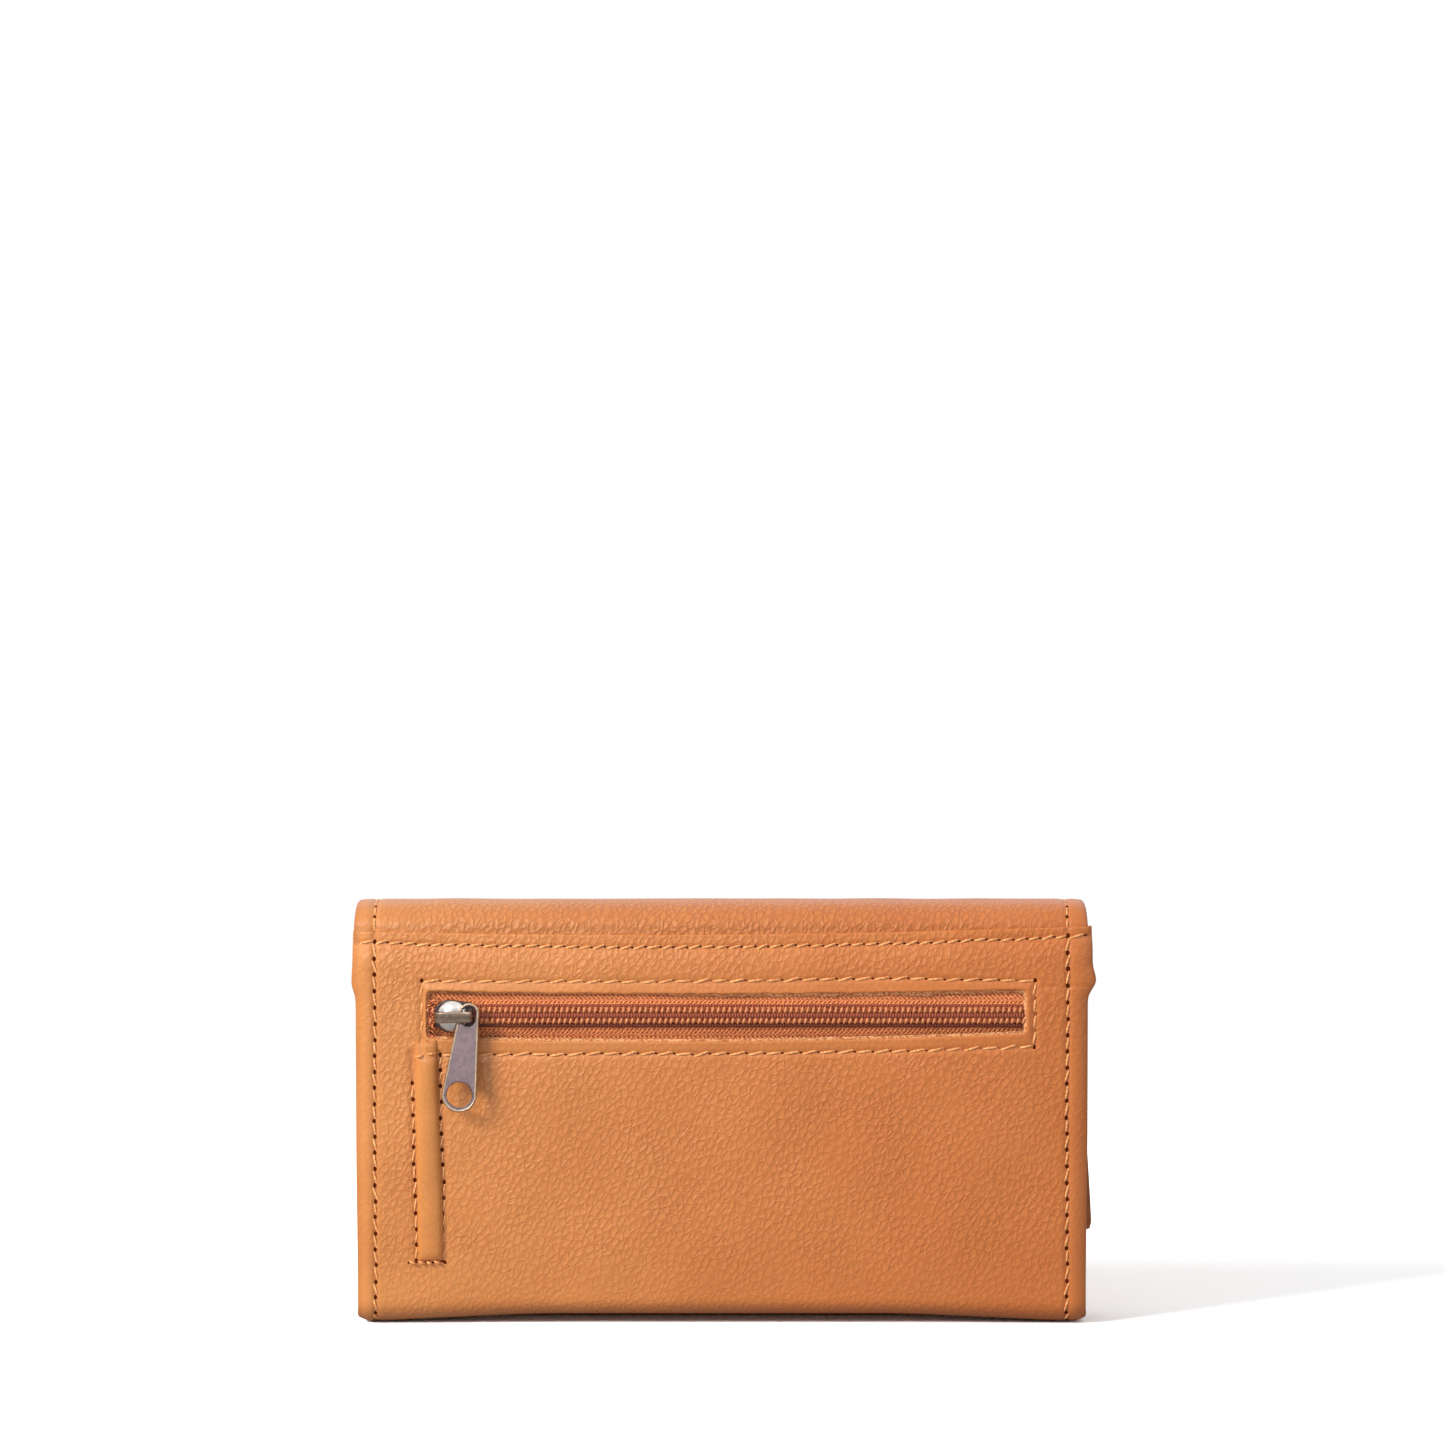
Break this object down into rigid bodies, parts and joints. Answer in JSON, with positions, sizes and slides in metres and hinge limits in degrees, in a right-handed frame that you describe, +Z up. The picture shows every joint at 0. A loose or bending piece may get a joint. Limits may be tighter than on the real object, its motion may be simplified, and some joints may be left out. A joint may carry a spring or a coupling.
{
  "type": "long wallet",
  "caption": "Long flap wallet in pebbled leather with a zipped coin pocket on its back, gusseted compartments and a magnetic snap.",
  "frame": {"origin": "middle of the bounding box at the height of the surface the wallet stands on", "axes": "+X to the right along the wallet seen from its back, +Y towards the flap and its snap, +Z up"},
  "size_m": [0.1928, 0.0308, 0.1094],
  "materials": {
    "leather": "pebbled full-grain leather, satin",
    "lining": "smooth lining leather and pocket cloth, matt",
    "board": "stiffener board, matt",
    "tape": "woven zip tape, matt",
    "coil": "dyed coil zip teeth, satin",
    "metal": "plated zinc, satin",
    "magnet": "nickel-plated magnet, satin"
  },
  "bodies": {
    "body": {"back_panel": "leather", "raised_strip": "leather", "base_fold": "leather", "flap_anchor": "leather", "zip_tape_upper": "tape", "zip_tape_lower": "tape", "zip_coil_upper": "coil", "zip_coil_lower": "coil", "coin_lining_front": "lining", "coin_lining_back": "lining", "rear_board": "board", "rear_lining": "lining", "card_slot_1": "leather", "card_slot_2": "leather", "card_slot_3": "leather", "card_slot_4": "leather", "gusset_rear_left": "leather", "gusset_rear_right": "leather", "divider_panel": "leather"},
    "flap_spine": {"flap_spine": "leather", "flap_spine_lining": "lining"},
    "flap_front": {"flap_front": "leather", "flap_front_lining": "lining", "snap_stud": "metal", "snap_stud_washer": "metal"},
    "front_panel": {"front_panel": "leather", "front_lining": "lining", "slip_pocket": "leather", "gusset_front_left": "leather", "gusset_front_right": "leather", "snap_socket": "metal", "snap_socket_washer": "metal", "snap_magnet": "magnet"},
    "zip_slider": {"zip_slider": "metal"},
    "zip_pull": {"zip_pull": "metal"}
  },
  "joints": [
    {"name": "flap_lift", "type": "hinge", "parent": "body", "child": "flap_spine", "pos_m": [0, -0.00721, 0.10646], "axis": [1, 0, 0], "range_deg": [0, 100]},
    {"name": "flap_turn", "type": "hinge", "parent": "flap_spine", "child": "flap_front", "pos_m": [0, 0.01251, 0.10646], "axis": [1, 0, 0], "range_deg": [0, 100]},
    {"name": "front_open", "type": "hinge", "parent": "body", "child": "front_panel", "pos_m": [0, 0.00819, 0.00206], "axis": [-1, 0, 0], "range_deg": [0, 12]},
    {"name": "zip_slide", "type": "slide", "parent": "body", "child": "zip_slider", "axis": [1, 0, 0], "range_m": [0, 0.14]},
    {"name": "pull_swing", "type": "hinge", "parent": "zip_slider", "child": "zip_pull", "pos_m": [-0.0653, -0.01365, 0.0806], "axis": [0, -1, 0], "range_deg": [-40, 180]}
  ],
  "couplings": [
    {"joint": "front_open", "follows": "flap_turn", "ratio": 0.12}
  ]
}
